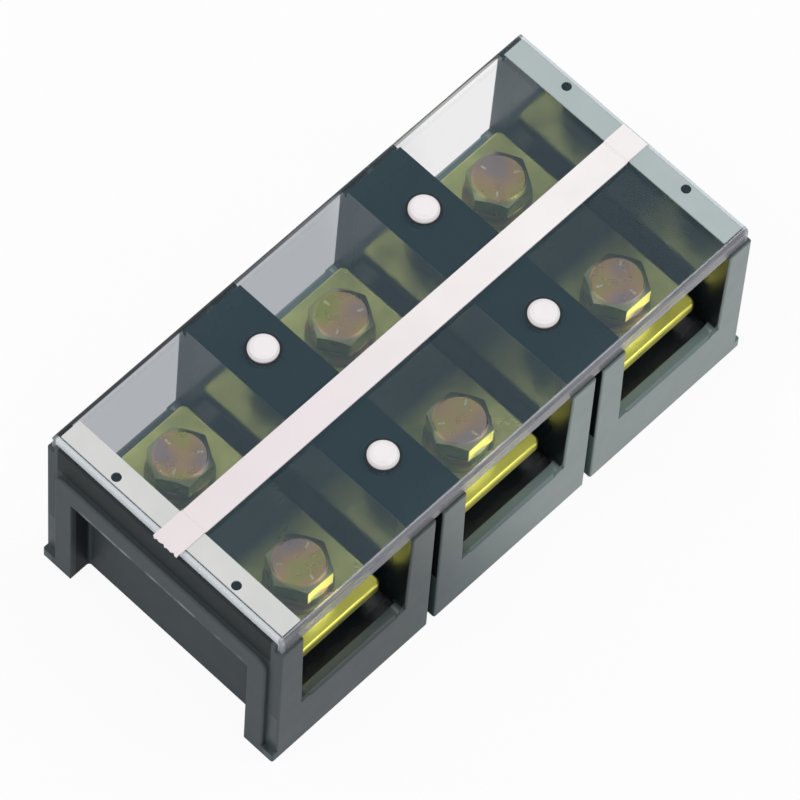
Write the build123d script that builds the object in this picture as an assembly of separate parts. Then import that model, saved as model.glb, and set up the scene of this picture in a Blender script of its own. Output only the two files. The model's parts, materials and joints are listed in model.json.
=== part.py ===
from build123d import *
import math
import os

# Three-way power terminal block. Sizes are in millimetres.
# Z points up, X runs along the row of ways and Y runs across it.
# The origin is the middle of the footprint, on the panel under the feet.

# Ways and walls of the moulded base
way_names = ("left", "middle", "right")
way_pitch = 37.7
way_width = 25.2
way_draft = 1.2
end_wall = 5.1
block_width = 54.2
side_wall = 2.2
base_height = 39.2
floor_top = 12.0
floor_thickness = 2.0
sill_height = 13.4
sill_corner = 1.9
sill_bevel = 0.5
edge_round = 0.4

# Pedestals, cores and slits of the base
pedestal_width = 13.0
pedestal_length = 41.0
pedestal_round = 3.0
core_wall = 2.2
core_end_wall = 7.5
core_skin = 3.2
slit_width = 1.6
slit_depth = 4.5
pocket_corner = 1.0

# Raised arch, recess and foot at each end of the base
arch_proud = 1.0
arch_half_width = 24.4
arch_top = 32.0
arch_corner = 2.5
recess_half_width = 20.5
recess_top = 26.5
end_panel = 1.7
recess_corner = 0.6
foot_height = 2.2

# Clear cover and the strips stuck on it
cover_thickness = 1.8
cover_inset = 0.6
cover_lip_depth = 3.8
cover_lip_thickness = 1.0
cover_bend = 0.9
cover_fit = 0.1
strip_thickness = 0.3
end_strip_width = 4.2
end_strip_from_end = 0.8
end_strip_back_gap = 1.3
end_strip_front_gap = 0.9
strip_hole_radius = 0.9
strip_hole_from_end = 2.0
marker_width = 5.5
marker_offset = -0.95
marker_overhang = 1.1
marker_short_of_end = 0.5
marker_ramp = 0.4
marker_fit = 0.1

# Brass bars
bar_width = 20.6
bar_length = 46.2
bar_thickness = 2.4
bar_top = 20.6
bar_corner = 1.2
bar_edge = 0.4

# Terminal bolts and their washers
row_offset = 13.8
row_names = ("front", "back")
bolt_flats = 10.0
bolt_head_height = 4.2
bolt_head_face = 4.72
bolt_chamfer_drop = 0.6
bolt_shank_radius = 2.95
bolt_length = 12.0
bolt_tip = 0.7
bolt_end_gap = 0.8
thread_fit = 0.05
washer_radius = 6.0
washer_thickness = 1.6
lock_washer_radius = 5.3
lock_washer_thickness = 1.6
lock_washer_split = 0.9
washer_clearance = 0.3
shank_hole_radius = 3.6

# Screws that hold the bars from below
screw_radius = 2.0
screw_fit = 0.05
screw_clearance = 0.25
screw_head_radius = 3.6
screw_head_height = 2.4
screw_skin = 0.8
screw_tip_gap = 0.3
driver_slot_width = 0.9
driver_slot_length = 4.2
driver_slot_depth = 1.3

# Push rivets through the cover
rivet_head_radius = 2.7
rivet_head_height = 1.1
rivet_shank_radius = 1.8
rivet_length = 9.0
rivet_slot_width = 0.8
rivet_slot_length = 6.0
rivet_base_fit = 0.1
rivet_cover_fit = 0.2

# Sizes that follow from those above
way_count = len(way_names)
way_places = [way_pitch * (index - (way_count - 1) / 2) for index in range(way_count)]
barrier_places = [way_pitch * (index - (way_count - 2) / 2) for index in range(way_count - 1)]
row_places = (-row_offset, row_offset)
barrier_width = way_pitch - way_width
body_length = way_pitch * (way_count - 1) + way_width + 2 * end_wall
body_half = body_length / 2
way_end = body_half - end_wall
floor_underside = floor_top - floor_thickness
lip_seat = base_height + cover_thickness - cover_lip_depth
cover_top = base_height + cover_thickness
cover_half = body_half - cover_inset
cover_side = block_width / 2 - cover_inset
bar_underside = bar_top - bar_thickness
washer_top = bar_top + washer_thickness
head_underside = washer_top + lock_washer_thickness
bolt_end = head_underside - bolt_length
screw_hole_top = bar_top - screw_skin
end_strip_outer = cover_half - end_strip_from_end
end_strip_inner = end_strip_outer - end_strip_width

os.makedirs("parts", exist_ok=True)


def box_between(x0, x1, y0, y1, z0, z1):
    """A block between two corners."""
    block = Box(x1 - x0, y1 - y0, z1 - z0)
    return Pos((x0 + x1) / 2, (y0 + y1) / 2, (z0 + z1) / 2) * block


def upright(profile, z0, z1):
    """A plan profile raised from one level to another."""
    return Pos(0, 0, z0) * extrude(profile, z1 - z0)


def rounded_plan(length, width, radius):
    """A rectangle in plan with rounded corners."""
    return RectangleRounded(length, width, radius)


def both_ends(solid):
    """A solid at the right end and its mirror image at the left end."""
    return [solid, mirror(solid, about=Plane.YZ)]


def both_sides(solid):
    """A solid at the back and its mirror image at the front."""
    return [solid, mirror(solid, about=Plane.XZ)]


def way_half(level):
    """Half the width of a way at one level, as its walls lean in towards the floor."""
    return way_width / 2 - (base_height - level) * math.tan(math.radians(way_draft))


def across(points, length):
    """A profile in X and Z drawn out along Y, the same length to both sides."""
    profile = Plane.XZ * Polygon(*points, align=None)
    return Pos(0, -length / 2, 0) * extrude(profile, length, dir=(0, 1, 0))


def upright_edges(solid):
    """The edges of a solid that stand, upright or leaning a little."""
    return solid.edges().filter_by(lambda edge: abs(edge.tangent_at(0.5).Z) > 0.9)


def slit_plan(place):
    """The plan of the two slits of one barrier, their mouths rounded."""
    face = block_width / 2
    plan = Pos(place, face - slit_depth / 2) * Rectangle(slit_width, slit_depth)
    outside = Pos(place, face + slit_width / 2) * Rectangle(3 * slit_width, slit_width)
    plan = plan + outside
    inner_row = plan.vertices().group_by(Axis.Y)[0]
    mouth = plan.vertices().filter_by(lambda corner: abs(corner.Y - face) < 0.01)
    mouth = mouth.sort_by(Axis.X)[1:-1]
    plan = fillet(inner_row + mouth, edge_round)
    return plan + mirror(plan, about=Plane.XZ)


def lower_body():
    """The block below the sills, one slit between each pair of ways."""
    plan = rounded_plan(body_length, block_width, edge_round)
    for place in barrier_places:
        plan -= slit_plan(place)
    return upright(plan, 0, sill_height)


def end_wall_block():
    """The wall above the sill at the right end of the row."""
    middle = way_places[-1]
    points = [
        (middle + way_half(sill_height), sill_height),
        (body_half, sill_height),
        (body_half, base_height),
        (middle + way_half(base_height), base_height),
    ]
    block = across(points, block_width)
    return fillet(upright_edges(block), edge_round)


def barrier_block(place):
    """One barrier between two ways, slit at both ends up to the seat of the cover's lip."""
    foot = way_pitch / 2 - way_half(sill_height)
    top = way_pitch / 2 - way_half(base_height)
    points = [
        (place - foot, sill_height),
        (place + foot, sill_height),
        (place + top, base_height),
        (place - top, base_height),
    ]
    block = across(points, block_width)
    block = fillet(upright_edges(block), edge_round)
    return block - upright(slit_plan(place), sill_height - 1, lip_seat)


def way_pocket(place):
    """The room of one way above its floor, inside the side walls."""
    top = sill_height + 1
    points = [
        (place - way_half(floor_top), floor_top),
        (place + way_half(floor_top), floor_top),
        (place + way_half(top), top),
        (place - way_half(top), top),
    ]
    room = across(points, block_width - 2 * side_wall)
    return fillet(upright_edges(room), pocket_corner)


def sill_edge(place):
    """What comes off the outer edge of the sill at the back of one way."""
    outer = block_width / 2
    profile = Plane.YZ * Polygon(
        (outer - sill_bevel, sill_height + 0.01),
        (outer + 0.2, sill_height + 0.01),
        (outer + 0.2, sill_height - sill_bevel - 0.2),
        (outer, sill_height - sill_bevel),
        align=None,
    )
    half = way_half(sill_height + sill_corner) - sill_corner
    return Pos(place - half, 0, 0) * extrude(profile, 2 * half, dir=(1, 0, 0))


def sill_corner_block(place, side):
    """The rounded fill where a sill meets a post, seen at the back of one way."""
    corner = place + side * way_half(sill_height + sill_corner)
    inner = corner - side * sill_corner
    wall_inner = block_width / 2 - side_wall
    block = box_between(
        min(corner, inner), max(corner, inner),
        wall_inner, block_width / 2 - edge_round,
        sill_height, sill_height + sill_corner,
    )
    drill = Cylinder(sill_corner, block_width, rotation=(90, 0, 0))
    return block - Pos(inner, wall_inner, sill_height + sill_corner) * drill


def pedestal(place):
    """The raised block that carries one bar."""
    plan = Pos(place, 0) * rounded_plan(pedestal_width, pedestal_length, pedestal_round)
    return upright(plan, floor_top - 0.5, bar_underside)


def pedestal_holes(place):
    """Blind holes under the two bolts and the hole of the bar's screw."""
    holes = []
    for row in row_places:
        hole = upright(Circle(shank_hole_radius), bolt_end - bolt_end_gap, bar_underside)
        holes.append(Pos(place, row, 0) * hole)
    screw = Cylinder(screw_radius + screw_clearance, 2 * bar_underside)
    holes.append(Pos(place, 0, bar_underside) * screw)
    return holes


def underside_cavity(place):
    """The hollow under the floor of one way."""
    length = block_width - 2 * side_wall
    plan = Pos(place, 0) * rounded_plan(way_width, length, 1.0)
    return upright(plan, -1, floor_underside)


def barrier_core(place):
    """The deep pocket that keeps a barrier's walls thin, open below."""
    width = barrier_width - 2 * core_wall
    length = block_width - 2 * core_end_wall
    plan = Pos(place, 0) * rounded_plan(width, length, 1.0)
    return upright(plan, -1, base_height - core_skin)


def lip_rebate():
    """The step along the back of every post where the cover's lip sits."""
    depth = cover_inset + cover_lip_thickness + cover_fit
    return box_between(
        -body_half - 1, body_half + 1,
        block_width / 2 - depth, block_width / 2 + 1,
        lip_seat, base_height + 1,
    )


def end_arch():
    """The raised arch on the right end face."""
    outer = Plane.YZ * Pos(0, arch_top / 2) * Rectangle(2 * arch_half_width, arch_top)
    outer = fillet(outer.vertices().group_by(Axis.Z)[-1], arch_corner)
    root = body_half - 0.5
    arch = Pos(root, 0, 0) * extrude(outer, arch_proud + 0.5, dir=(1, 0, 0))
    rim = arch.faces().sort_by(Axis.X)[-1].edges()
    rim = [edge for edge in rim if edge.center().Z > 0.1]
    return fillet(rim, edge_round)


def end_foot(side):
    """The short foot beside the arch at the right end."""
    inner = arch_half_width - 1
    outer = block_width / 2
    foot = box_between(body_half - 1, body_half + arch_proud, inner, outer, 0, foot_height)
    corner = foot.edges().filter_by(Axis.Z).sort_by(lambda edge: edge.center().X + edge.center().Y)[-1]
    foot = fillet(corner, edge_round)
    return foot if side > 0 else mirror(foot, about=Plane.XZ)


def end_recess():
    """The recess under the arch, down to the panel that closes the last way."""
    inner = way_end + end_panel
    outer = body_half + arch_proud + 1
    plan = Pos((inner + outer) / 2, 0) * Rectangle(outer - inner, 2 * recess_half_width)
    plan = fillet(plan.vertices().group_by(Axis.X)[0], recess_corner)
    return upright(plan, -1, recess_top)


def make_base():
    """The moulded base, one piece."""
    base = lower_body()
    for end in both_ends(end_wall_block()):
        base += end
    for place in barrier_places:
        base += barrier_block(place)
    for place in way_places:
        base -= way_pocket(place)
        base += pedestal(place)
        for side in (-1, 1):
            for corner in both_sides(sill_corner_block(place, side)):
                base += corner
        for edge in both_sides(sill_edge(place)):
            base -= edge
    for end in both_ends(end_arch() + end_foot(-1) + end_foot(1)):
        base += end
    for end in both_ends(end_recess()):
        base -= end
    for place in way_places:
        base -= underside_cavity(place)
        for hole in pedestal_holes(place):
            base -= hole
    for place in barrier_places:
        base -= barrier_core(place)
        for row in row_places:
            hole = Cylinder(rivet_shank_radius + rivet_base_fit, 4 * core_skin)
            base -= Pos(place, row, base_height) * hole
    for rebate in both_sides(lip_rebate()):
        base -= rebate
    return base


def make_cover():
    """The clear cover, a flat plate with a lip down each long side."""
    inner = cover_side - cover_lip_thickness
    profile = Plane.YZ * Polygon(
        (-cover_side, lip_seat),
        (-cover_side, cover_top),
        (cover_side, cover_top),
        (cover_side, lip_seat),
        (inner, lip_seat),
        (inner, base_height),
        (-inner, base_height),
        (-inner, lip_seat),
        align=None,
    )
    bends = profile.vertices().group_by(Axis.Z)[-1]
    profile = fillet(bends, cover_bend)
    cover = Pos(-cover_half, 0, 0) * extrude(profile, 2 * cover_half, dir=(1, 0, 0))
    for place in barrier_places:
        for row in row_places:
            hole = Cylinder(rivet_shank_radius + rivet_cover_fit, 4 * cover_thickness)
            cover -= Pos(place, row, cover_top) * hole
    return cover


def make_marker_strip():
    """The white strip along the middle of the cover, which steps up over both end strips."""
    left = -cover_half - marker_overhang
    right = cover_half - marker_short_of_end
    step = end_strip_inner - marker_fit
    low = cover_top
    high = cover_top + strip_thickness
    points = [
        (left, high),
        (-step, high),
        (-step + marker_ramp, low),
        (step - marker_ramp, low),
        (step, high),
        (right, high),
        (right, high + strip_thickness),
        (step, high + strip_thickness),
        (step - marker_ramp, low + strip_thickness),
        (-step + marker_ramp, low + strip_thickness),
        (-step, high + strip_thickness),
        (left, high + strip_thickness),
    ]
    return Pos(0, marker_offset, 0) * across(points, marker_width)


def make_end_strip(side):
    """The pale strip across one end of the cover, with two punched holes."""
    strip = box_between(
        end_strip_inner, end_strip_outer,
        -cover_side + end_strip_front_gap, cover_side - end_strip_back_gap,
        cover_top, cover_top + strip_thickness,
    )
    middle = (end_strip_front_gap - end_strip_back_gap) / 2
    for row in row_places:
        hole = Cylinder(strip_hole_radius, 4 * strip_thickness)
        strip -= Pos(cover_half - strip_hole_from_end, middle + row, cover_top) * hole
    return strip if side > 0 else mirror(strip, about=Plane.YZ)


def make_bar(place):
    """One brass bar, tapped through for two bolts and from below for its screw."""
    plan = Pos(place, 0) * rounded_plan(bar_width, bar_length, bar_corner)
    bar = upright(plan, bar_underside, bar_top)
    rims = [bar.faces().sort_by(Axis.Z)[-1].edges(), bar.faces().sort_by(Axis.Z)[0].edges()]
    bar = fillet(rims[0] + rims[1], bar_edge)
    for row in row_places:
        hole = Cylinder(bolt_shank_radius + thread_fit, 4 * bar_thickness)
        bar -= Pos(place, row, bar_top) * hole
    screw = upright(Circle(screw_radius + screw_fit), bar_underside - 1, screw_hole_top)
    return bar - Pos(place, 0, 0) * screw


def make_bolt(place, row):
    """A hexagon bolt, its head's corners turned down to a round face."""
    hexagon = RegularPolygon(bolt_flats / 2, 6, major_radius=False)
    head = upright(hexagon, head_underside, head_underside + bolt_head_height)
    top = head_underside + bolt_head_height
    slope = bolt_chamfer_drop / (bolt_flats / 3 ** 0.5 - bolt_head_face)
    reach = bolt_flats
    turning = Plane.XZ * Polygon(
        (0, head_underside - 1),
        (reach, head_underside - 1),
        (reach, top - slope * (reach - bolt_head_face)),
        (bolt_head_face, top),
        (0, top),
        align=None,
    )
    head = head & revolve(turning, Axis.Z)
    shank_profile = Plane.XZ * Polygon(
        (0, head_underside + 0.5),
        (bolt_shank_radius, head_underside + 0.5),
        (bolt_shank_radius, bolt_end + bolt_tip),
        (bolt_shank_radius - bolt_tip, bolt_end),
        (0, bolt_end),
        align=None,
    )
    bolt = head + revolve(shank_profile, Axis.Z)
    return Pos(place, row, 0) * bolt


def make_flat_washer(place, row):
    """The flat washer on the bar."""
    bore = bolt_shank_radius + washer_clearance
    ring = upright(Circle(washer_radius) - Circle(bore), bar_top, washer_top)
    return Pos(place, row, 0) * ring


def make_lock_washer(place, row):
    """The split lock washer under the bolt's head."""
    bore = bolt_shank_radius + washer_clearance
    ring = upright(Circle(lock_washer_radius) - Circle(bore), washer_top, head_underside)
    split = Box(2 * lock_washer_radius, lock_washer_split, 4 * lock_washer_thickness)
    split = Pos(lock_washer_radius, 0, 0) * split
    split = Rot(25, 0, 0) * split
    split = Pos(0, 0, washer_top + lock_washer_thickness / 2) * split
    ring = ring - Rot(0, 0, 35) * split
    return Pos(place, row, 0) * ring


def make_bar_screw(place):
    """The pan-head screw from below that holds one bar."""
    head_bottom = floor_underside - screw_head_height
    head = upright(Circle(screw_head_radius), head_bottom, floor_underside)
    head = fillet(head.faces().sort_by(Axis.Z)[0].edges(), 0.9)
    shank = upright(Circle(screw_radius), floor_underside - 0.5, screw_hole_top - screw_tip_gap)
    shank = chamfer(shank.faces().sort_by(Axis.Z)[-1].edges(), 0.5)
    screw = head + shank
    for turn in (0, 90):
        slot = Box(driver_slot_length, driver_slot_width, 2 * driver_slot_depth)
        screw -= Pos(0, 0, head_bottom) * (Rot(0, 0, turn) * slot)
    return Pos(place, 0, 0) * screw


def make_rivet(place, row):
    """A nylon push rivet with a low domed head and two springy legs."""
    tip = cover_top - rivet_length
    profile = Plane.XZ * Polygon(
        (0, cover_top + rivet_head_height),
        (rivet_head_radius - 1.0, cover_top + rivet_head_height),
        (rivet_head_radius - 0.35, cover_top + rivet_head_height * 0.72),
        (rivet_head_radius, cover_top + rivet_head_height * 0.3),
        (rivet_head_radius, cover_top),
        (rivet_shank_radius, cover_top),
        (rivet_shank_radius, tip + 1.2),
        (rivet_shank_radius * 0.6, tip),
        (0, tip),
        align=None,
    )
    rivet = revolve(profile, Axis.Z)
    slot = Box(4 * rivet_shank_radius, rivet_slot_width, 2 * rivet_slot_length)
    rivet -= Pos(0, 0, tip) * slot
    return Pos(place, row, 0) * rivet


def save(solid, name):
    """Write one piece under its name."""
    export_step(solid, f"parts/{name}.step")


save(make_base(), "base")
save(make_cover(), "cover")
save(make_marker_strip(), "marker_strip")
save(make_end_strip(-1), "left_end_strip")
save(make_end_strip(1), "right_end_strip")
for way, place in zip(way_names, way_places):
    save(make_bar(place), f"{way}_bar")
    save(make_bar_screw(place), f"{way}_bar_screw")
    for row, row_place in zip(row_names, row_places):
        save(make_bolt(place, row_place), f"{way}_{row}_bolt")
        save(make_flat_washer(place, row_place), f"{way}_{row}_flat_washer")
        save(make_lock_washer(place, row_place), f"{way}_{row}_lock_washer")
for index, place in enumerate(barrier_places):
    for row, row_place in zip(row_names, row_places):
        save(make_rivet(place, row_place), f"{row}_rivet_{index + 1}")
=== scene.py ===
"""Three-way power terminal block: its finishes, its fine details and its studio."""

import json
import logging
import math
from collections.abc import Sequence
from dataclasses import dataclass
from enum import Enum

import bmesh
import bpy
from mathutils import Matrix, Vector


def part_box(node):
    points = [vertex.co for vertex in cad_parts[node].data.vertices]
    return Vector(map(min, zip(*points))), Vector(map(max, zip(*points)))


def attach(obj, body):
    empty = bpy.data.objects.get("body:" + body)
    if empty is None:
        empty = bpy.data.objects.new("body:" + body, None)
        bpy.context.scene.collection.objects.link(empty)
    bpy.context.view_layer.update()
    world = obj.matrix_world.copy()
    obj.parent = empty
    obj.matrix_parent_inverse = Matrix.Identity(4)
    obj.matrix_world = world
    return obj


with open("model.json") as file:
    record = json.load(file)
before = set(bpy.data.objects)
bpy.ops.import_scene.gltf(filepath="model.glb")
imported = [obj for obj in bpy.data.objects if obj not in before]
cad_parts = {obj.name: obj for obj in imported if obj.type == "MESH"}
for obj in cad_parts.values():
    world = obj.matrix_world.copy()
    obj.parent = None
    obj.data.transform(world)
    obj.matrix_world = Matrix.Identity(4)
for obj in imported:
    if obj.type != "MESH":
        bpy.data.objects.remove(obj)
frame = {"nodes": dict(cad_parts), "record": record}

log = logging.getLogger("terminal_block")

MM = 0.001
# How far the first bolt's head is turned, and how much further each next one is, in radians.
FIRST_TURN, NEXT_TURN = 0.4, 1.1

# The colour sockets of a Mix node share their names with its others, so they go by number.
SHARE, UNDER, OVER, MIXED = "0", "6", "7", 2

Pair = tuple[float, float]
Point = tuple[float, float, float]
Stops = Sequence[tuple[float, str]]
Signal = bpy.types.Node | bpy.types.NodeSocket
Value = Signal | float | str | tuple[float, ...] | Stops
Step = tuple[Signal, float, float] | tuple[Signal, float, float, float, float]


class Way(Enum):
    """The ways of the block, as its nodes' names call them."""

    LEFT = "left"
    MIDDLE = "middle"
    RIGHT = "right"


class Row(Enum):
    """The rows of bolts, as the nodes' names call them."""

    FRONT = "front"
    BACK = "back"


class Coordinates(Enum):
    """What places are measured in: an object's own metres, or the directions of the sky."""

    OBJECT = "Object"
    SKY = "Generated"


class Finish(Enum):
    """The finishes of the block, by the record's material slots."""

    PHENOLIC = "phenolic"
    CLEAR_COVER = "clear_cover"
    WHITE_STRIP = "white_strip"
    PALE_STRIP = "pale_strip"
    BAR_BRASS = "bar_brass"
    BOLT_ZINC = "bolt_steel"
    WASHER_ZINC = "washer_steel"
    SCREW_ZINC = "screw_steel"
    NYLON = "white_nylon"


def colour(code: str) -> tuple[float, float, float, float]:
    """Turn an sRGB hex value to a linear colour.

    Args:
        code: Six hex digits with a leading hash sign.

    Returns:
        Linear red, green, blue and an alpha of one.
    """
    parts = [int(code[i : i + 2], 16) / 255 for i in (1, 3, 5)]
    linear = [p / 12.92 if p <= 0.04045 else ((p + 0.055) / 1.055) ** 2.4 for p in parts]
    return (linear[0], linear[1], linear[2], 1.0)


def set_stops(ramp: bpy.types.ColorRamp, stops: Stops) -> None:
    """Write the stops of a colour ramp.

    Args:
        ramp: The ramp.
        stops: Places from zero to one, each with a hex colour.
    """
    while len(ramp.elements) < len(stops):
        ramp.elements.new(0.5)
    for element, (place, code) in zip(ramp.elements, stops):
        element.position = place
        element.color = colour(code)


class Graph:
    """The nodes of a material or of the sky, with where each point lies."""

    def __init__(
        self,
        owner: bpy.types.Material | bpy.types.World,
        coordinates: Coordinates = Coordinates.OBJECT,
    ) -> None:
        """Start with the coordinates, and the distances from the middle along X and Y.

        Args:
            owner: The material or world that takes the nodes.
            coordinates: What its places are measured in.
        """
        owner.use_nodes = True
        self.tree = owner.node_tree
        self.tree.nodes.clear()
        self.place = self.add("TexCoord").outputs[coordinates.value]
        self.x, self.y, self.z = self.add("SeparateXYZ", {"0": self.place}).outputs
        self.away_x = self.add("Math", {"operation": "ABSOLUTE", "0": self.x})
        self.away_y = self.add("Math", {"operation": "ABSOLUTE", "0": self.y})

    def add(self, kind: str, values: dict[str, Value] | None = None) -> bpy.types.Node:
        """Add a node with its settings and its links.

        Args:
            kind: The node's type name, without the words that all of them start with.
            values: What goes into it, by the name of a property, by the name or number of an
                input, or as stops. A node given here stands for its first output.

        Returns:
            The new node.
        """
        node = self.tree.nodes.new("ShaderNode" + kind)
        for name, value in (values or {}).items():
            if name == "stops":
                set_stops(node.color_ramp, value)
            elif name in node.bl_rna.properties:
                setattr(node, name, value)
            else:
                socket = node.inputs[int(name) if name.isdigit() else name]
                if isinstance(value, bpy.types.Node):
                    value = value.outputs[0]
                if isinstance(value, bpy.types.NodeSocket):
                    self.tree.links.new(value, socket)
                else:
                    socket.default_value = colour(value) if isinstance(value, str) else value
        return node

    def mask(self, *factors: Step | Signal | float) -> Signal:
        """Multiply smooth steps and other shares.

        Args:
            factors: Shares and steps. A step is a length in metres and the places, in
                millimetres, where it is nothing and where it is full, or the places and then
                the two values that it has there.

        Returns:
            The product.
        """
        product: Signal | float | None = None
        for factor in factors:
            if isinstance(factor, tuple):
                length, start, end, *values = factor
                low, high = values or (0.0, 1.0)
                if start > end:
                    start, end, low, high = end, start, high, low
                factor = self.add("MapRange", {
                    "interpolation_type": "SMOOTHSTEP", "Value": length,
                    "From Min": start * MM, "From Max": end * MM, "To Min": low, "To Max": high,
                })
            product = factor if product is None else self.add(
                "Math", {"operation": "MULTIPLY", "0": product, "1": factor},
            )
        return product

    def uneven(
        self, size_mm: float, low: float, high: float, detail: float = 3.0, place: Signal | None = None,
    ) -> bpy.types.Node:
        """Let a value wander between two others, in patches of a real size.

        Args:
            size_mm: The width of a patch in millimetres.
            low: The value at the low end.
            high: The value at the high end.
            detail: Octaves of finer noise.
            place: Coordinates in metres, if they aren't the plain ones.

        Returns:
            The value's node.
        """
        wander = self.add("TexNoise", {
            "Vector": self.place if place is None else place,
            "Scale": 1 / (size_mm * MM), "Detail": detail,
        })
        # Noise keeps near a half, so its middle part is stretched to the whole range.
        return self.add("MapRange", {
            "Value": wander, "From Min": 0.3, "From Max": 0.7, "To Min": low, "To Max": high,
        })

    def from_axis(self, pitch_mm: float, row_mm: float, shift_mm: float = 0.0) -> bpy.types.Node:
        """Work out the distance from the nearest upright axis of a regular field of them.

        Args:
            pitch_mm: The step from axis to axis along X.
            row_mm: The distance of both rows from the middle.
            shift_mm: The place of one axis along X.

        Returns:
            The distance's node, in metres.
        """
        half = pitch_mm / 2 * MM
        shifted = self.add("Math", {"operation": "SUBTRACT", "0": self.x, "1": shift_mm * MM})
        along = self.add("Math", {"operation": "WRAP", "0": shifted, "1": half, "2": -half})
        across = self.add("Math", {"operation": "SUBTRACT", "0": self.away_y, "1": row_mm * MM})
        squares = [
            self.add("Math", {"operation": "MULTIPLY", "0": offset, "1": offset})
            for offset in (along, across)
        ]
        total = self.add("Math", {"operation": "ADD", "0": squares[0], "1": squares[1]})
        return self.add("Math", {"operation": "SQRT", "0": total})


@dataclass(frozen=True)
class MouldedPhenolic:
    """Black phenolic, compression moulded: dark grey, with the mould's dull gloss.

    A pair of millimetres is where a mask is nothing and where it is full.
    """

    # Painted shade: the ways' walls are painted this dark.
    shaded_inner: str = "#14191b"
    shaded_inner_flow: str = "#1a1f22"
    # Painted light: the barriers' tops are painted lighter.
    lit_crown: str = "#434d55"
    # Painted light: the long outside faces are painted lighter, the right end most.
    side: str = "#3b4646"
    lit_side_right: str = "#667775"
    end: str = "#444b4e"
    # Painted light: the proud frame and corner posts of the ends are painted lighter.
    lit_end_proud: str = "#535a5b"
    # Painted shade: the band of the end faces below the cover is painted darker.
    shaded_ledge: str = "#313738"
    # Painted shade on the cheeks of the end recess.
    shaded_cheek: str = "#1c2426"
    # Painted highlight along the upper edge of the end recess.
    end_edge_highlight: str = "#8f999c"
    ior: float = 1.55
    polish: Pair = (0.12, 0.16)
    side_dullness: float = 0.18
    end_dullness: float = 0.32
    gloss: float = 0.5
    end_gloss: float = 0.08
    flow_mm: float = 14.0
    flow_stops: Pair = (0.3, 0.75)
    polish_patch_mm: float = 4.0
    highlight_patch_mm: float = 6.0
    highlight_reach: Pair = (-0.8, 1.3)
    grain_mm: float = 0.4
    grain_depth_mm: float = 0.003
    grain_strength: float = 0.3
    edge_mm: float = 0.22
    side_mm: Pair = (26.7, 26.9)
    lit_side_right_mm: Pair = (-30.0, 12.0)
    dull_mm: Pair = (19.0, 24.9)
    sill_mm: Pair = (24.9, 25.1)
    sill_top_mm: Pair = (14.2, 13.9)
    lit_crown_mm: Pair = (38.9, 39.1)
    end_mm: Pair = (50.7, 51.3)
    proud_mm: Pair = (55.8, 56.1)
    corner_mm: Pair = (24.5, 24.7)
    shaded_ledge_mm: Pair = (32.3, 32.6)
    cheek_inner_mm: Pair = (20.2, 20.45)
    cheek_outer_mm: Pair = (20.7, 20.55)
    cheek_depth_mm: Pair = (55.2, 55.1)
    highlight_from_mm: Pair = (26.3, 26.4)
    highlight_to_mm: Pair = (27.4, 27.3)
    recess_mm: Pair = (20.5, 20.2)
    barrier_mm: float = 18.85
    slit_width_mm: Pair = (0.95, 0.82)
    slit_depth_mm: Pair = (22.1, 22.5)
    slit_top_mm: Pair = (37.15, 37.0)

    def material(self) -> bpy.types.Material:
        """Make the material.

        The eye sees faint flow marks, walls that mirror softly, a dull outside and light along
        the edges, with painted shade in the ways and painted light on the outside faces.

        Returns:
            The material.
        """
        material = bpy.data.materials.new("moulded_phenolic")
        graph = Graph(material)
        sill = graph.mask((graph.away_y, *self.sill_mm), (graph.z, *self.sill_top_mm))
        face = graph.mask((graph.away_y, *self.side_mm))
        side = graph.add("Math", {"operation": "MAXIMUM", "0": face, "1": sill})
        beyond = graph.add("Math", {"operation": "SUBTRACT", "0": 1.0, "1": side})
        end = graph.mask((graph.away_x, *self.end_mm), beyond)
        outside = graph.add("Math", {"operation": "MAXIMUM", "0": side, "1": end})
        # Real grain is finer than a tenth of a millimetre; it is drawn coarser so that it shows.
        grain = graph.add("TexNoise", {
            "Vector": graph.place, "Scale": 1 / (self.grain_mm * MM), "Detail": 2.0,
        })
        bump = graph.add("Bump", {
            "Distance": self.grain_depth_mm * MM,
            "Strength": graph.mask(outside, self.grain_strength),
            "Height": grain,
            "Normal": graph.add("Bevel", {"samples": 4, "Radius": self.edge_mm * MM}),
        })
        shader = graph.add("BsdfPrincipled", {
            "IOR": self.ior,
            "Specular IOR Level": self.shine(graph, end),
            "Base Color": self.tint(graph, side, end),
            "Roughness": self.roughness(graph, end),
            "Normal": bump,
        })
        graph.add("OutputMaterial", {"Surface": shader})
        return material

    def roughness(self, graph: Graph, end: Signal) -> Signal:
        """Roughen the walls of the ways towards the openings, and the end faces.

        Args:
            graph: The material's nodes.
            end: The share of the end faces.

        Returns:
            The roughness.
        """
        uneven = graph.uneven(self.polish_patch_mm, *self.polish, detail=1.0)
        walls = graph.mask((graph.away_y, *self.dull_mm, 0.0, self.side_dullness))
        ends = graph.mask(end, self.end_dullness)
        dull = graph.add("Math", {"operation": "MAXIMUM", "0": walls, "1": ends})
        return graph.add("Math", {"operation": "ADD", "0": uneven, "1": dull})

    def shine(self, graph: Graph, end: Signal) -> Signal:
        """Take the shine from the end faces and from the narrow slits, where dust stays.

        Args:
            graph: The material's nodes.
            end: The share of the end faces.

        Returns:
            The specular level.
        """
        lost = graph.mask(end, self.gloss - self.end_gloss)
        shine = graph.add("Math", {"operation": "SUBTRACT", "0": self.gloss, "1": lost})
        offset = graph.add("Math", {
            "operation": "SUBTRACT", "0": graph.away_x, "1": self.barrier_mm * MM,
        })
        beside = graph.add("Math", {"operation": "ABSOLUTE", "0": offset})
        slits = graph.mask(
            (graph.away_y, *self.slit_depth_mm),
            (beside, *self.slit_width_mm),
            (graph.z, *self.slit_top_mm),
        )
        return graph.mask(shine, graph.add("Math", {"operation": "SUBTRACT", "0": 1.0, "1": slits}))

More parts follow.
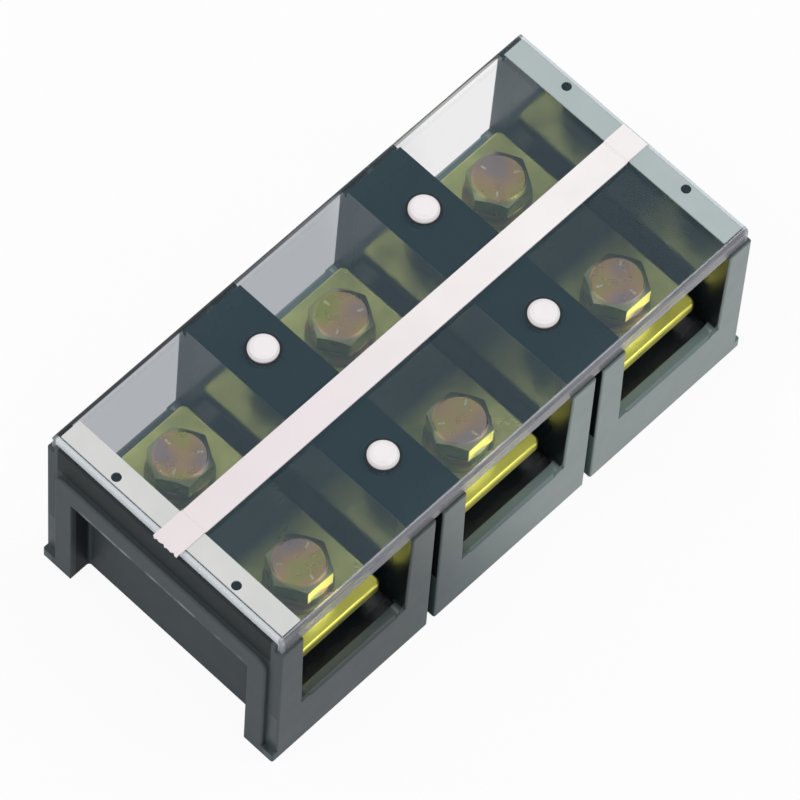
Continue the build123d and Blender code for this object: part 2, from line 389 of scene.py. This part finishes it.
    def tint(self, graph: Graph, side: Signal, end: Signal) -> Signal:
        """Mix the colour: painted shade darkens the ways, and painted light greys the outside.

        Args:
            graph: The material's nodes.
            side: The share of the long sides.
            end: The share of the end faces.

        Returns:
            The colour.
        """
        flow = graph.add("TexNoise", {
            "Vector": graph.place, "Scale": 1 / (self.flow_mm * MM), "Detail": 3.0,
        })
        # The ways are painted dark as painted shade, with flow marks in it.
        shaded_inner = graph.add("ValToRGB", {
            "Fac": flow, "stops": tuple(zip(self.flow_stops, (self.shaded_inner, self.shaded_inner_flow))),
        })
        # The barriers' tops are painted lighter, as painted light from above.
        lit_crown = graph.mask((graph.z, *self.lit_crown_mm))
        # The right side of the block is painted greyest, as painted light falling from the right.
        right = graph.mask((graph.x, *self.lit_side_right_mm))
        corner = graph.mask((graph.away_y, *self.corner_mm))
        proud = graph.mask((graph.away_x, *self.proud_mm))
        # The cheeks of the recess are painted darker, as painted shade in the recess.
        shaded_cheek = graph.mask(
            (graph.away_y, *self.cheek_inner_mm),
            (graph.away_y, *self.cheek_outer_mm),
            (graph.away_x, *self.cheek_depth_mm),
        )
        # A painted highlight runs along the upper edge of the recess, broken in places.
        end_edge_highlight = graph.mask(
            graph.uneven(self.highlight_patch_mm, *self.highlight_reach),
            (graph.z, *self.highlight_from_mm),
            (graph.z, *self.highlight_to_mm),
            (graph.away_y, *self.recess_mm),
        )
        sides = graph.add("Mix", {
            "data_type": "RGBA", SHARE: right, UNDER: self.side, OVER: self.lit_side_right,
        }).outputs[MIXED]
        ends_layers = (
            # The band below the cover is painted darker, as painted shade.
            (graph.mask((graph.z, *self.shaded_ledge_mm)), self.shaded_ledge),
            # The proud frame and the corner posts are painted lighter, as painted light.
            (graph.add("Math", {"operation": "MAXIMUM", "0": corner, "1": proud}), self.lit_end_proud),
            (shaded_cheek, self.shaded_cheek),
            (graph.add("Math", {"operation": "MAXIMUM", "0": end_edge_highlight, "1": 0.0}), self.end_edge_highlight),
        )
        ends: Value = self.end
        for share, over in ends_layers:
            ends = graph.add("Mix", {
                "data_type": "RGBA", SHARE: share, UNDER: ends, OVER: over,
            }).outputs[MIXED]
        whole: Value = shaded_inner
        for share, over in ((lit_crown, self.lit_crown), (end, ends), (side, sides)):
            whole = graph.add("Mix", {
                "data_type": "RGBA", SHARE: share, UNDER: whole, OVER: over,
            }).outputs[MIXED]
        return whole


@dataclass(frozen=True)
class ClearAcrylic:
    """Clear acrylic sheet, moulded and polished: a faint blue veil over what lies under it, partly haze and
    partly a painted reflection of the sky.

    A pair of millimetres is where a mask is nothing and where it is full, unless two values
    go with it.
    """

    tint: str = "#f6f5f5"
    thin: str = "#ffffff"
    shadow_tint: str = "#e4e9ea"
    # Partly haze, partly a painted blue reflection of the sky.
    veil: str = "#5aa0b8"
    # Painted grey: the dark base seen through the front lip, and its reflections.
    lip: str = "#8c8b92"
    # Painted dark line in the back bend, for its total internal reflection.
    bend: str = "#202325"
    # Painted shade in a thin ring round each rivet.
    ring: str = "#1d2123"
    # Painted glow on the cut ends and the margins beside them.
    edge: str = "#f4f8fb"
    ior: float = 1.49
    polish: float = 0.02
    edge_roughness: float = 0.2
    thin_gloss: float = 0.03
    veil_share: float = 0.06
    painted_lip_share: float = 0.62
    painted_bend_share: Pair = (0.97, 0.55)
    painted_ring_share: float = 0.85
    margin_share: float = 0.7
    face_share: float = 0.95
    plate_share: float = 0.25
    streak_mm: float = 1.1
    streak_share: Pair = (0.7, 1.2)
    streak_stretch: Point = (0.08, 1.0, 1.0)
    upper_mm: Pair = (40.4, 40.7)
    lips_mm: Pair = (25.4, 25.45)
    lips_top_mm: Pair = (40.0, 39.9)
    lip_mm: Pair = (-25.75, -25.6)
    bend_mm: Pair = (25.4, 25.6)
    bend_top_mm: Pair = (39.74, 40.01)
    bend_fade_mm: Pair = (-44.0, 40.0)
    margin_mm: Pair = (54.0, 54.3)
    face_mm: Pair = (54.75, 54.79)
    plate_mm: Pair = (25.3, 25.9)
    rivet_mm: float = 18.85
    row_mm: float = 13.8
    pitch_mm: float = 37.7
    ring_outer_mm: Pair = (3.05, 3.3)
    ring_inner_mm: Pair = (2.1, 2.3)

    def material(self) -> bpy.types.Material:
        """Make the material.

        The eye sees the parts below through a thin veil, a front lip painted grey for the dark base
        seen through it and its reflections, cut ends with a painted glow, a painted dark line in the
        bend at the back and a painted dark ring round each rivet.
        Light for shadows passes straight through, as it does in a sheet with two flat faces.

        Returns:
            The material.
        """
        material = bpy.data.materials.new("clear_acrylic")
        graph = Graph(material)
        surface = graph.add("BsdfPrincipled", {
            "Base Color": self.tint, "IOR": self.ior, "Transmission Weight": 1.0,
            "Roughness": self.polish,
        })
        # The lips are too thin to bend what is seen through them.
        thin = graph.add("MixShader", {
            "Fac": self.thin_gloss,
            "1": graph.add("BsdfTransparent", {"Color": self.thin}),
            "2": self.milky(graph, self.tint),
        })
        # The upper face has a veil, partly haze from dust and fine scratches and partly a painted blue
        # reflection of the sky.
        upper = graph.mask((graph.z, *self.upper_mm, 0.0, self.veil_share))
        layers = (
            (graph.mask((graph.away_y, *self.lips_mm), (graph.z, *self.lips_top_mm)), thin),
            (upper, graph.add("BsdfDiffuse", {"Color": self.veil})),
            (self.painted_lip_mask(graph), self.milky(graph, self.lip)),
            (self.painted_bend_mask(graph), self.milky(graph, self.bend)),
            (self.painted_ring_mask(graph), self.milky(graph, self.ring)),
            (self.end_mask(graph), self.milky(graph, self.edge)),
            (
                graph.add("LightPath").outputs["Is Shadow Ray"],
                graph.add("BsdfTransparent", {"Color": self.shadow_tint}),
            ),
        )
        for share, layer in layers:
            surface = graph.add("MixShader", {"Fac": share, "1": surface, "2": layer})
        graph.add("OutputMaterial", {"Surface": surface})
        return material

    def milky(self, graph: Graph, code: str) -> Signal:
        """Make the glossy, cloudy plastic of an edge, in one colour."""
        values = {"Base Color": code, "IOR": self.ior, "Roughness": self.edge_roughness}
        return graph.add("BsdfPrincipled", values)

    def painted_lip_mask(self, graph: Graph) -> Signal:
        """Find the front lip and its bend, painted grey for the dark base seen through it and its
        reflections, in streaks along the lip.

        Args:
            graph: The material's nodes.

        Returns:
            The share of the painted grey lip.
        """
        drawn = graph.add("Mapping", {"Scale": self.streak_stretch, "Vector": graph.place})
        return graph.mask(
            (graph.y, *self.lip_mm, self.painted_lip_share, 0.0),
            graph.uneven(self.streak_mm, *self.streak_share, place=drawn),
        )

    def painted_bend_mask(self, graph: Graph) -> Signal:
        """Find the bend along the back, where a dark line is painted for its total internal
        reflection, black beside the left way and grey beside the right.

        Args:
            graph: The material's nodes.

        Returns:
            The share of the painted dark line.
        """
        return graph.mask(
            (graph.y, *self.bend_mm),
            (graph.z, *self.bend_top_mm),
            (graph.x, *self.bend_fade_mm, *self.painted_bend_share),
        )

    def painted_ring_mask(self, graph: Graph) -> Signal:
        """Find a thin ring round each of the four rivets, where shade is painted.

        Args:
            graph: The material's nodes.

        Returns:
            The share of the painted dark ring.
        """
        distance = graph.from_axis(self.pitch_mm, self.row_mm, self.rivet_mm)
        return graph.mask(
            (distance, *self.ring_outer_mm, self.painted_ring_share, 0.0),
            (distance, *self.ring_inner_mm),
        )

    def end_mask(self, graph: Graph) -> Signal:
        """Find the cut ends of the plate and the margins beside them, where a glow is painted.

        Args:
            graph: The material's nodes.

        Returns:
            The share of the painted glow.
        """
        margin = graph.mask((graph.away_x, *self.margin_mm, 0.0, self.margin_share))
        face = graph.mask((graph.away_x, *self.face_mm, 0.0, self.face_share))
        return graph.mask(
            graph.add("Math", {"operation": "MAXIMUM", "0": margin, "1": face}),
            (graph.away_y, *self.plate_mm, 1.0, self.plate_share),
        )


@dataclass(frozen=True)
class PlainPlastic:
    """Vinyl sheet, or moulded plastic or nylon: one calm colour, uneven in tone and gloss."""

    name: str
    left: str
    right: str
    stain: str
    roughness: float
    patch_mm: float
    ior: float = 1.5
    stain_share: float = 0.3
    half_length_mm: float = 54.0
    gloss_patch_mm: float = 3.0
    gloss_change: float = 0.06
    grain_mm: float = 0.5
    grain_depth_mm: float = 0.004
    grain_strength: float = 0.3

    def material(self) -> bpy.types.Material:
        """Make the material.

        The eye sees an even matt face with slow changes of tone, and a different tone at each end.

        Returns:
            The material.
        """
        material = bpy.data.materials.new(self.name)
        graph = Graph(material)
        end_to_end_tone = graph.add("ValToRGB", {
            "Fac": graph.mask((graph.x, -self.half_length_mm, self.half_length_mm)),
            "stops": ((0.0, self.left), (1.0, self.right)),
        })
        tint = graph.add("Mix", {
            "data_type": "RGBA", SHARE: graph.uneven(self.patch_mm, 0.0, self.stain_share),
            UNDER: end_to_end_tone, OVER: self.stain,
        })
        # The grain of the sheet is finer than this too, and is drawn as coarse as it needs to show.
        grain = graph.add("TexNoise", {
            "Vector": graph.place, "Scale": 1 / (self.grain_mm * MM), "Detail": 2.0,
        })
        shader = graph.add("BsdfPrincipled", {
            "IOR": self.ior,
            "Base Color": tint.outputs[MIXED],
            "Roughness": graph.uneven(
                self.gloss_patch_mm, self.roughness - self.gloss_change, self.roughness + self.gloss_change,
            ),
            "Normal": graph.add("Bump", {
                "Strength": self.grain_strength, "Distance": self.grain_depth_mm * MM, "Height": grain,
            }),
        })
        graph.add("OutputMaterial", {"Surface": shader})
        return material


@dataclass(frozen=True)
class PassivatedBrass:
    """Rolled brass bar, passivated: greenish yellow, with fine lines along the bar."""

    light: str = "#c9cb7e"
    dark: str = "#abb06e"
    # Painted shadow of the marker strip across the bar's middle.
    shaded: str = "#323835"
    # Painted light on the bar's front end, lit through the opening.
    painted_lit_end: str = "#ddd968"
    roughness: Pair = (0.26, 0.4)
    patch_mm: float = 6.0
    patch_stops: Pair = (0.3, 0.7)
    dull_patch_mm: float = 5.0
    line_mm: float = 0.35
    line_stretch: Point = (1.0, 0.05, 1.0)
    line_depth_mm: float = 0.006
    line_strength: float = 0.25
    shaded_mm: Pair = (3.0, 9.5)
    painted_lit_end_mm: Pair = (-20.4, -18.6)

    def material(self) -> bpy.types.Material:
        """Make the material.

        The eye sees olive metal with soft lines from rolling and dull patches, a painted shadow
        across its middle and a painted lit front end.

        Returns:
            The material.
        """
        material = bpy.data.materials.new("passivated_brass")
        graph = Graph(material)
        patches = graph.add("TexNoise", {
            "Vector": graph.place, "Scale": 1 / (self.patch_mm * MM), "Detail": 3.0,
        })
        tint: Value = graph.add("ValToRGB", {
            "Fac": patches, "stops": tuple(zip(self.patch_stops, (self.dark, self.light))),
        })
        # The middle of the bar is painted dark as the marker strip's shadow, and its front end is painted
        # bright as lit through the opening.
        for axis, places, under in (
            (graph.away_y, self.shaded_mm, self.shaded),
            (graph.y, self.painted_lit_end_mm, self.painted_lit_end),
        ):
            tint = graph.add("Mix", {
                "data_type": "RGBA", SHARE: graph.mask((axis, *places)), UNDER: under, OVER: tint,
            }).outputs[MIXED]
        # The rolling lines run along the bar, so the noise is drawn out along Y. Real ones are
        # some hundredths of a millimetre apart; they are drawn coarser so that they show.
        drawn = graph.add("Mapping", {"Scale": self.line_stretch, "Vector": graph.place})
        lines = graph.add("TexNoise", {
            "Vector": drawn, "Scale": 1 / (self.line_mm * MM), "Detail": 2.0,
        })
        shader = graph.add("BsdfPrincipled", {
            "Metallic": 1.0,
            "Base Color": tint,
            "Roughness": graph.uneven(self.dull_patch_mm, *self.roughness),
            "Normal": graph.add("Bump", {
                "Strength": self.line_strength, "Distance": self.line_depth_mm * MM, "Height": lines,
            }),
        })
        graph.add("OutputMaterial", {"Surface": shader})
        return material


@dataclass(frozen=True)
class Zinc:
    """Zinc plated steel, passivated: a thin film in tints that change from patch to patch."""

    name: str
    stops: Stops
    patch_mm: float
    roughness: float
    dull_patch_mm: float = 2.5
    dullness: float = 0.12
    pit_mm: float = 0.5
    pit_depth_mm: float = 0.01
    pit_strength: float = 0.3

    def material(self) -> bpy.types.Material:
        """Make the material.

        The eye sees a thin coloured film that changes from patch to patch, and fine pits.

        Returns:
            The material.
        """
        material = bpy.data.materials.new(self.name)
        graph = Graph(material)
        patches = graph.uneven(self.patch_mm, 0.0, 1.0, detail=0.5)
        # Real pits can't be seen one by one; they are drawn coarse enough to break up the gloss.
        pits = graph.add("TexNoise", {
            "Vector": graph.place, "Scale": 1 / (self.pit_mm * MM), "Detail": 3.0,
        })
        tint, roughness, normal = self.worked(
            graph,
            graph.add("ValToRGB", {"Fac": patches, "stops": self.stops}),
            graph.uneven(self.dull_patch_mm, self.roughness, self.roughness + self.dullness),
            graph.add("Bump", {
                "Strength": self.pit_strength, "Distance": self.pit_depth_mm * MM, "Height": pits,
            }),
        )
        shader = graph.add("BsdfPrincipled", {
            "Metallic": 1.0, "Base Color": tint, "Roughness": roughness, "Normal": normal,
        })
        graph.add("OutputMaterial", {"Surface": shader})
        return material

    def worked(
        self, graph: Graph, tint: Signal, roughness: Signal, normal: Signal,
    ) -> tuple[Signal, Signal, Signal]:
        """Leave the plated surface as it is."""
        return tint, roughness, normal


@dataclass(frozen=True)
class BoltZinc(Zinc):
    """The yellow zinc of a hexagon bolt, with its turned face, flanks painted in shade with a painted
    glint, and thread.

    A pair of millimetres is where a mask is nothing and where it is full.
    """

    # Painted shade: the chamfer and the flanks are painted darker than the face.
    chamfer: str = "#8f9270"
    flank: str = "#6a6f5c"
    # Painted glint on the outward flank.
    painted_glint: str = "#e4e0d8"
    chamfer_dullness: float = 0.08
    flank_smoothness: float = 0.16
    painted_glint_mm: Pair = (18.6, 18.75)
    outer_mm: Pair = (4.64, 4.76)
    flank_top_mm: Pair = (27.4, 27.2)
    rim_mm: Pair = (4.72, 4.32)
    rim_height_mm: float = 0.2
    pitch_mm: float = 37.7
    row_mm: float = 13.8
    thread_mm: float = 1.0
    thread_depth: float = 0.4
    thread_top_mm: float = 23.7

    def worked(
        self, graph: Graph, tint: Signal, roughness: Signal, normal: Signal,
    ) -> tuple[Signal, Signal, Signal]:
        """Add what turning and the die did to the bolt, with painted shade and a painted glint on its
        flanks.

        Args:
            graph: The material's nodes.
            tint: The colour of the film.
            roughness: The roughness of the film.
            normal: The normal with the pits.

        Returns:
            The three as they are after the work.
        """
        distance = graph.from_axis(self.pitch_mm, self.row_mm)
        outer = graph.mask((distance, *self.outer_mm))
        low = graph.mask((graph.z, *self.flank_top_mm))
        # A glint is painted on the outward flank.
        painted_glint = graph.mask((graph.away_y, *self.painted_glint_mm))
        flank = graph.add("Mix", {"data_type": "RGBA", SHARE: painted_glint, UNDER: self.flank, OVER: self.painted_glint})
        # The chamfer and the flanks take painted shade.
        around = graph.add("Mix", {
            "data_type": "RGBA", SHARE: low, UNDER: self.chamfer, OVER: flank.outputs[MIXED],
        })
        tint = graph.add("Mix", {
            "data_type": "RGBA", SHARE: outer, UNDER: tint, OVER: around.outputs[MIXED],
        })
        # The turned chamfer is duller than the face, and the flanks are smooth.
        dull = graph.mask(outer, self.chamfer_dullness)
        smooth = graph.mask(low, self.flank_smoothness)
        roughness = graph.add("Math", {"operation": "ADD", "0": roughness, "1": dull})
        roughness = graph.add("Math", {"operation": "SUBTRACT", "0": roughness, "1": smooth})
        # The edge of the turned face is rounded, which draws a fine line round it.
        normal = graph.add("Bump", {
            "Strength": 1.0, "Distance": self.rim_height_mm * MM,
            "Height": graph.mask((distance, *self.rim_mm)), "Normal": normal,
        })
        return tint.outputs[MIXED], roughness, self.thread(graph, normal)

    def thread(self, graph: Graph, normal: Signal) -> Signal:
        """Cut the thread into the shank, below the head.

        Args:
            graph: The material's nodes.
            normal: The normal that the thread adds to.

        Returns:
            The normal with the thread.
        """
        # Blender's bands repeat every 2 pi / 20 units at a scale of one; the pitch is the real one.
        wave = graph.add("TexWave", {
            "bands_direction": "Z", "wave_profile": "TRI",
            "Scale": 2 * math.pi / 20 / (self.thread_mm * MM), "Vector": graph.place,
        })
        below = graph.add("Math", {"operation": "LESS_THAN", "0": graph.z, "1": self.thread_top_mm * MM})
        return graph.add("Bump", {
            "Strength": 1.0, "Distance": self.thread_depth * self.thread_mm * MM,
            "Height": graph.mask(wave.outputs["Fac"], below), "Normal": normal,
        })


BOLT_TINTS = (
    (0.0, "#a3a650"),
    (0.3, "#b5a860"),
    (0.5, "#bf9f70"),
    (0.75, "#b9987c"),
    (1.0, "#a4908c"),
)
WASHER_TINTS = (
    (0.0, "#767e58"),
    (0.35, "#84825a"),
    (0.7, "#94805c"),
    (1.0, "#7c7466"),
)
SCREW_TINTS = (
    (0.0, "#b9bcb6"),
    (1.0, "#a9aba2"),
)
# Pale zinc for the bolts' raised marks, a painted glint on them.
GLINT_TINTS = (
    (0.0, "#d6cfb4"),
    (1.0, "#c2b894"),
)

WHITE_VINYL = PlainPlastic(
    "white_vinyl_strip", left="#eee2e3", right="#fbf4f2", stain="#e4d8d9", roughness=0.45, patch_mm=9.0,
)
PALE_PLASTIC = PlainPlastic(
    "pale_moulded_strip", left="#dad8d4", right="#abb7b6", stain="#c0c3c0", roughness=0.4, patch_mm=7.0,
)
NYLON = PlainPlastic(
    "white_nylon", left="#f6eeee", right="#f6eeee", stain="#ece2e2", roughness=0.5, patch_mm=4.0,
)

PALETTE = {
    Finish.PHENOLIC: MouldedPhenolic().material(),
    Finish.CLEAR_COVER: ClearAcrylic().material(),
    Finish.WHITE_STRIP: WHITE_VINYL.material(),
    Finish.PALE_STRIP: PALE_PLASTIC.material(),
    Finish.BAR_BRASS: PassivatedBrass().material(),
    Finish.BOLT_ZINC: BoltZinc("yellow_zinc_bolt", BOLT_TINTS, 7.0, 0.24).material(),
    Finish.WASHER_ZINC: Zinc("yellow_zinc_washer", WASHER_TINTS, 5.0, 0.28).material(),
    Finish.SCREW_ZINC: Zinc("bright_zinc_screw", SCREW_TINTS, 5.0, 0.3).material(),
    Finish.NYLON: NYLON.material(),
}
# The raised marks' pale zinc, a painted glint.
GLINT_ZINC = Zinc("glint_zinc", GLINT_TINTS, 3.0, 0.2).material()


def rounded_box(build: bmesh.types.BMesh, shape: Matrix, round_mm: float) -> None:
    """Add a box with rounded edges to a mesh.

    Args:
        build: The mesh that takes it.
        shape: What turns a cube with sides of one metre to the box.
        round_mm: The radius of its edges.
    """
    made = bmesh.ops.create_cube(build, size=1.0, matrix=shape)
    edges = {edge for vert in made["verts"] for edge in vert.link_edges}
    bmesh.ops.bevel(build, geom=list(edges), offset=round_mm * MM, segments=2, affect="EDGES")


def mesh_piece(
    name: str,
    build: bmesh.types.BMesh,
    body: str,
    finish: Finish,
    material: bpy.types.Material | None = None,
) -> None:
    """Turn a built mesh into a piece that rides on a body.

    Args:
        name: The piece's name.
        build: The mesh, in metres in the frame; it is freed.
        body: The body that carries it.
        finish: The finish whose material the piece takes, unless another is given.
        material: Its material, if it isn't the finish's own.
    """
    data = bpy.data.meshes.new(name)
    build.to_mesh(data)
    build.free()
    piece = bpy.data.objects.new(name, data)
    bpy.context.scene.collection.objects.link(piece)
    data.materials.append(material or PALETTE[finish])
    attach(piece, body)


class CarriedNodes:
    """The solids of the frame, each dressed in the finish of its slot."""

    def dress(self) -> None:
        """Give every solid its finish in place of its plain one."""
        slots = {part["node"]: part["material_slot"] for part in frame["record"]["subparts"]}
        for name, solid in frame["nodes"].items():
            finish = Finish(slots[name])
            for slot in solid.material_slots:
                slot.material = PALETTE[finish]
            log.info("dressed %s as %s", name, finish.name)


@dataclass
class Bolt:
    """What is raised on one hexagon bolt's head."""

    way: Way
    row: Row
    turn: float
    strokes: int = 3
    stroke_mm: Point = (0.4, 1.15, 0.16)
    ring_mm: float = 3.3
    round_mm: float = 0.05

    def build(self) -> None:
        """Raise short strokes on the head's face, spread round its middle."""
        node = f"{self.way.value}_{self.row.value}_bolt"
        low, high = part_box(node)
        middle = (low + high) / 2
        build = bmesh.new()
        for index in range(self.strokes):
            angle = self.turn + math.tau * index / self.strokes
            size = Vector(self.stroke_mm) * MM
            place = Vector((math.cos(angle), math.sin(angle), 0)) * self.ring_mm * MM
            shape = Matrix.Translation((middle.x + place.x, middle.y + place.y, high.z))
            shape = shape @ Matrix.Rotation(angle - math.pi / 2, 4, "Z") @ Matrix.Diagonal((*size, 1))
            rounded_box(build, shape, self.round_mm)
        # The marks take the pale zinc, a painted glint.
        mesh_piece(f"{node}_marks", build, node, Finish.BOLT_ZINC, GLINT_ZINC)
        log.info("raised %d strokes on %s", self.strokes, node)


@dataclass
class SlitShadeSkins:
    """Thin phenolic sheets that close the barriers' slits under the cover's lips, put where the slits are
    only in shade, to keep them dark.
    """

    barrier_mm: float = 18.85
    half_width_mm: float = 0.85
    inner_mm: float = 22.5
    levels_mm: Pair = (36.5, 37.1)
    front_mm: float = 26.2
    back_mm: float = 27.0
    round_mm: float = 0.08

    def build(self) -> None:
        """Close the four slits, set back from the front so that they still show there."""
        build = bmesh.new()
        low, high = self.levels_mm
        for barrier in (-self.barrier_mm, self.barrier_mm):
            for side, outer in ((-1, self.front_mm), (1, self.back_mm)):
                size = Vector((2 * self.half_width_mm, outer - self.inner_mm, high - low)) * MM
                place = Vector((barrier, side * (outer + self.inner_mm) / 2, (low + high) / 2)) * MM
                rounded_box(build, Matrix.Translation(place) @ Matrix.Diagonal((*size, 1)), self.round_mm)
        mesh_piece("base_slit_shade_skins", build, "body", Finish.PHENOLIC)
        log.info("closed the slits of the barriers")


@dataclass
class FrayedEnd:
    """The torn left end of the marker strip, ragged where it was pulled off by hand."""

    points: int = 13
    longest_mm: float = 0.48
    shortest_mm: float = 0.05
    overlap_mm: float = 0.6
    lift_mm: float = 0.02
    depth_mm: float = 0.25
    # Two waves that don't keep time, each with its height, its step and its start, round a mean.
    waves: tuple[Point, ...] = ((0.35, 2.4, 0.0), (0.15, 5.1, 1.0))
    mean: float = 0.5

    def build(self) -> None:
        """Grow a row of torn tongues from the strip's left end."""
        low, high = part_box("marker_strip")
        build = bmesh.new()
        rings = []
        for index in range(self.points):
            wave = self.mean
            for height, step, start in self.waves:
                wave += height * math.sin(step * index + start)
            reach = (self.shortest_mm + (self.longest_mm - self.shortest_mm) * wave) * MM
            across = low.y + index / (self.points - 1) * (high.y - low.y)
            upper, under = high.z + self.lift_mm * MM, high.z - self.depth_mm * MM
            root, sunk = self.overlap_mm * MM, high.z - self.lift_mm * MM
            corners = ((root, sunk), (-reach, upper), (-reach, under), (root, under))
            rings.append([build.verts.new((low.x + along, across, level)) for along, level in corners])
        for first, second in zip(rings, rings[1:]):
            for corner in range(4):
                after = (corner + 1) % 4
                build.faces.new((first[corner], first[after], second[after], second[corner]))
        build.faces.new(rings[0])
        build.faces.new(reversed(rings[-1]))
        bmesh.ops.recalc_face_normals(build, faces=build.faces)
        mesh_piece("marker_strip_frayed_end", build, "cover", Finish.WHITE_STRIP)
        log.info("frayed the marker strip's left end")


@dataclass(frozen=True)
class Lamp:
    """A square soft light that faces the block, with its sizes in metres and power in watts."""

    name: str
    place: Point
    power: float
    size: float = 0.6

    def build(self) -> None:
        """Hang the lamp."""
        data = bpy.data.lights.new(self.name, "AREA")
        data.shape = "SQUARE"
        data.size = self.size
        data.energy = self.power
        lamp = bpy.data.objects.new(self.name, data)
        lamp.location = self.place
        lamp.rotation_euler = (-Vector(self.place)).to_track_quat("-Z", "Y").to_euler()
        bpy.context.scene.collection.objects.link(lamp)


@dataclass
class Studio:
    """A plain pale floor, soft light and the camera at the photograph's angle.

    Lengths are in metres and angles in degrees, and the lens and its sensor are in millimetres.
    """

    azimuth: float = -49.692
    elevation: float = 61.687
    roll: float = 4.737
    distance: float = 1.2808
    lens: float = 344.8
    sensor: float = 36.0
    shift: Pair = (0.00273, 0.00237)
    clip: Pair = (0.01, 50.0)
    target: Point = (0.0, 0.0, 0.0165)
    floor_size: float = 6.0
    floor_level: float = -0.0002
    paper: str = "#e8e8e8"
    white: str = "#ffffff"
    paper_glow: float = 0.93
    paper_dim: str = "#b8b9bd"
    paper_bright: str = "#fffdfd"
    paper_slant: float = 0.5
    paper_fade_mm: Pair = (0.0, 30.0)
    sky_stops: Stops = ((0.0, "#ffffff"), (0.35, "#f4f4f4"), (0.95, "#c8d0d5"))
    sky_strength: float = 0.8
    lamps: tuple[Lamp, ...] = (
        Lamp("key_light", (0.54, -0.47, 1.32), 6.0),
        Lamp("fill_light", (-0.54, 0.47, 1.32), 4.0),
    )

    def camera(self) -> None:
        """Place the camera as the photograph's was."""
        data = bpy.data.cameras.new("camera")
        data.lens = self.lens
        data.sensor_width = self.sensor
        data.shift_x, data.shift_y = self.shift
        data.clip_start, data.clip_end = self.clip
        camera = bpy.data.objects.new("camera", data)
        bpy.context.scene.collection.objects.link(camera)
        azimuth, elevation = math.radians(self.azimuth), math.radians(self.elevation)
        back = Vector((
            math.sin(azimuth) * math.cos(elevation),
            -math.cos(azimuth) * math.cos(elevation),
            math.sin(elevation),
        ))
        turn = (-back).to_track_quat("-Z", "Y").to_matrix().to_4x4()
        turn = turn @ Matrix.Rotation(math.radians(self.roll), 4, "Z")
        camera.matrix_world = Matrix.Translation(Vector(self.target) + back * self.distance) @ turn
        bpy.context.scene.camera = camera

    def floor(self) -> None:
        """Lay the floor."""
        build = bmesh.new()
        bmesh.ops.create_grid(build, x_segments=1, y_segments=1, size=self.floor_size / 2)
        data = bpy.data.meshes.new("floor")
        build.to_mesh(data)
        build.free()
        floor = bpy.data.objects.new("floor", data)
        floor.location.z = self.floor_level
        bpy.context.scene.collection.objects.link(floor)
        data.materials.append(self.white_paper())

    def white_paper(self) -> bpy.types.Material:
        """Make the floor's paper, white to the eye and to mirrors, with the block's shadow kept.

        Returns:
            The material.
        """
        material = bpy.data.materials.new("white_floor")
        graph = Graph(material)
        # Mirrors and the clear cover show the paper as it is lit, greyer behind and to the left.
        slope = graph.mask(graph.y, self.paper_slant)
        slanted = graph.add("Math", {"operation": "SUBTRACT", "0": graph.x, "1": slope})
        lit = graph.add("ValToRGB", {
            "Fac": graph.mask((slanted, *self.paper_fade_mm)),
            "stops": ((0.0, self.paper_dim), (1.0, self.paper_bright)),
        })
        ray = graph.add("LightPath").outputs
        surface = graph.add("MixShader", {
            "Fac": graph.mask(ray["Is Camera Ray"], self.paper_glow),
            "1": graph.add("BsdfDiffuse", {"Color": self.paper}),
            "2": graph.add("Emission", {"Color": self.white, "Strength": 1.0}),
        })
        surface = graph.add("MixShader", {
            "Fac": graph.add("Math", {
                "operation": "MAXIMUM", "0": ray["Is Glossy Ray"], "1": ray["Is Transmission Ray"],
            }),
            "1": surface,
            "2": graph.add("Emission", {"Color": lit, "Strength": 1.0}),
        })
        graph.add("OutputMaterial", {"Surface": surface})
        return material

    def sky(self) -> None:
        """Light the room evenly, brighter at its walls than overhead."""
        world = bpy.data.worlds.new("studio")
        bpy.context.scene.world = world
        graph = Graph(world, Coordinates.SKY)
        shade = graph.add("ValToRGB", {"Fac": graph.z, "stops": self.sky_stops})
        surface = graph.add("MixShader", {
            "Fac": graph.add("LightPath").outputs["Is Camera Ray"],
            "1": graph.add("Background", {"Color": shade, "Strength": self.sky_strength}),
            "2": graph.add("Background", {"Color": self.white, "Strength": 1.0}),
        })
        graph.add("OutputWorld", {"Surface": surface})

    def build(self) -> None:
        """Make the whole studio."""
        bpy.context.scene.view_settings.view_transform = "Standard"
        self.camera()
        self.floor()
        self.sky()
        for lamp in self.lamps:
            lamp.build()
        log.info("studio ready")


def main() -> None:
    """Dress the block, add its details and build its studio."""
    logging.basicConfig(level=logging.INFO, format="%(name)s: %(message)s")
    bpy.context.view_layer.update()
    CarriedNodes().dress()
    for number, (way, row) in enumerate((way, row) for way in Way for row in Row):
        Bolt(way, row, turn=FIRST_TURN + NEXT_TURN * number).build()
    SlitShadeSkins().build()
    FrayedEnd().build()
    Studio().build()


if __name__ == "__main__":
    main()
